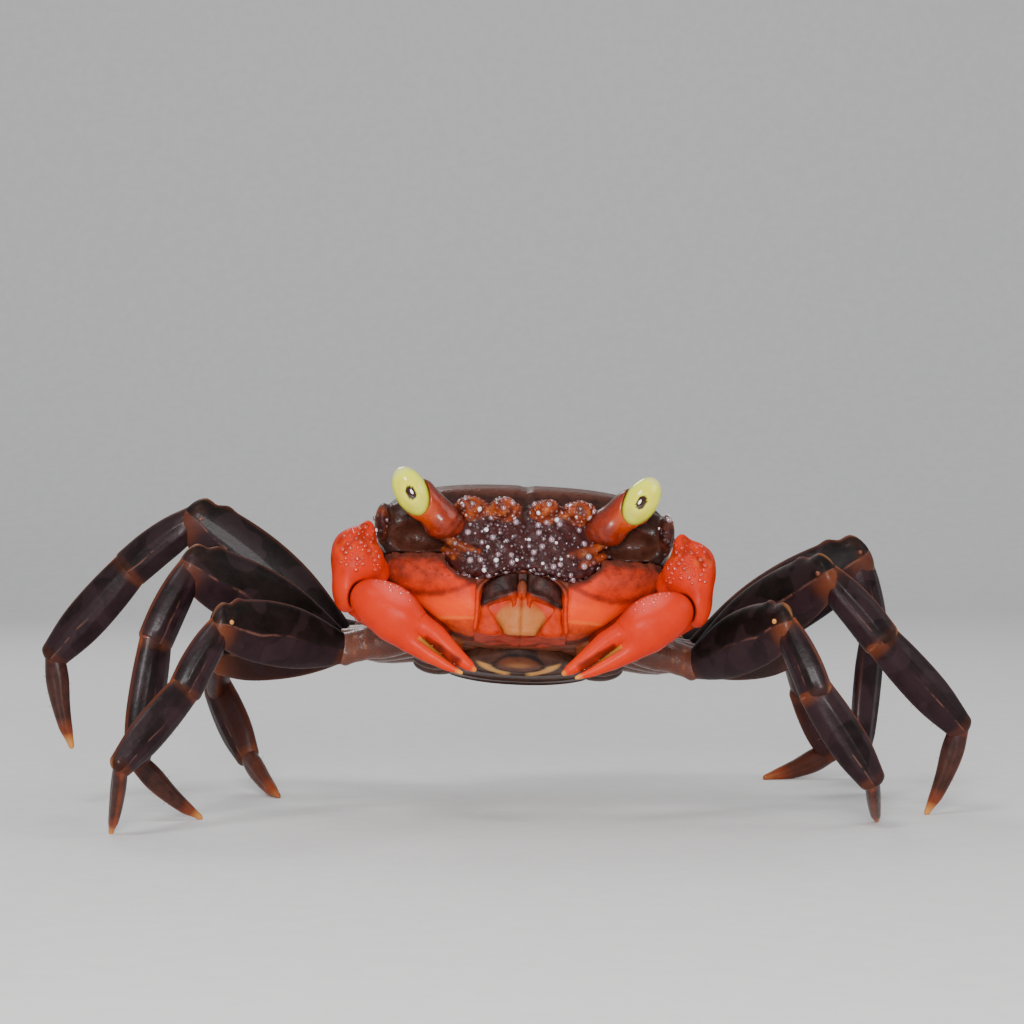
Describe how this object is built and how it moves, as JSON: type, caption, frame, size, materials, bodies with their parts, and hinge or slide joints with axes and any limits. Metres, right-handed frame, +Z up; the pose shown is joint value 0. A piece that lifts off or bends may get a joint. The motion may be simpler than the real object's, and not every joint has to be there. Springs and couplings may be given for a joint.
{
  "type": "vampire land crab",
  "caption": "Still life-size model of a small land crab standing high on splayed legs, slender claws folded before its face, eyes raised on short stalks.",
  "frame": {"origin": "on the floor under the centre of the bounding box", "axes": "+Z up from the floor, -Y the way the crab faces, +X to the crab's left"},
  "size_m": [0.0554, 0.0291, 0.0206],
  "materials": {
    "shell": "wet, granular, dark brown",
    "cheek": "glossy orange",
    "mouth": "glossy red-brown and cream",
    "belly": "translucent brown",
    "claw": "glossy red-orange with fine tubercles",
    "leg": "translucent purple-brown, glossy",
    "joint": "translucent red-brown",
    "toe": "red-brown with a pale yellow tip",
    "stalk": "glossy orange",
    "eye": "glossy pale yellow"
  },
  "bodies": {
    "root": {"abdomen": "belly", "carapace": "shell", "cheek_left": "cheek", "cheek_right": "cheek", "claw_left_arm": "claw", "claw_left_finger": "claw", "claw_left_palm": "claw", "claw_left_wrist": "claw", "claw_right_arm": "claw", "claw_right_finger": "claw", "claw_right_palm": "claw", "claw_right_wrist": "claw", "eye_left": "eye", "eye_right": "eye", "eyestalk_left": "stalk", "eyestalk_right": "stalk", "leg_left_2_base": "joint", "leg_left_2_carpus": "leg", "leg_left_2_dactylus": "toe", "leg_left_2_merus": "leg", "leg_left_2_propodus": "leg", "leg_left_3_base": "joint", "leg_left_3_carpus": "leg", "leg_left_3_dactylus": "toe", "leg_left_3_merus": "leg", "leg_left_3_propodus": "leg", "leg_left_4_base": "joint", "leg_left_4_carpus": "leg", "leg_left_4_dactylus": "toe", "leg_left_4_merus": "leg", "leg_left_4_propodus": "leg", "leg_left_5_base": "joint", "leg_left_5_carpus": "leg", "leg_left_5_dactylus": "toe", "leg_left_5_merus": "leg", "leg_left_5_propodus": "leg", "leg_right_2_base": "joint", "leg_right_2_carpus": "leg", "leg_right_2_dactylus": "toe", "leg_right_2_merus": "leg", "leg_right_2_propodus": "leg", "leg_right_3_base": "joint", "leg_right_3_carpus": "leg", "leg_right_3_dactylus": "toe", "leg_right_3_merus": "leg", "leg_right_3_propodus": "leg", "leg_right_4_base": "joint", "leg_right_4_carpus": "leg", "leg_right_4_dactylus": "toe", "leg_right_4_merus": "leg", "leg_right_4_propodus": "leg", "leg_right_5_base": "joint", "leg_right_5_carpus": "leg", "leg_right_5_dactylus": "toe", "leg_right_5_merus": "leg", "leg_right_5_propodus": "leg", "maxilliped_left": "mouth", "maxilliped_right": "mouth", "mouth_frame": "mouth", "sternum": "belly"}
  },
  "joints": []
}
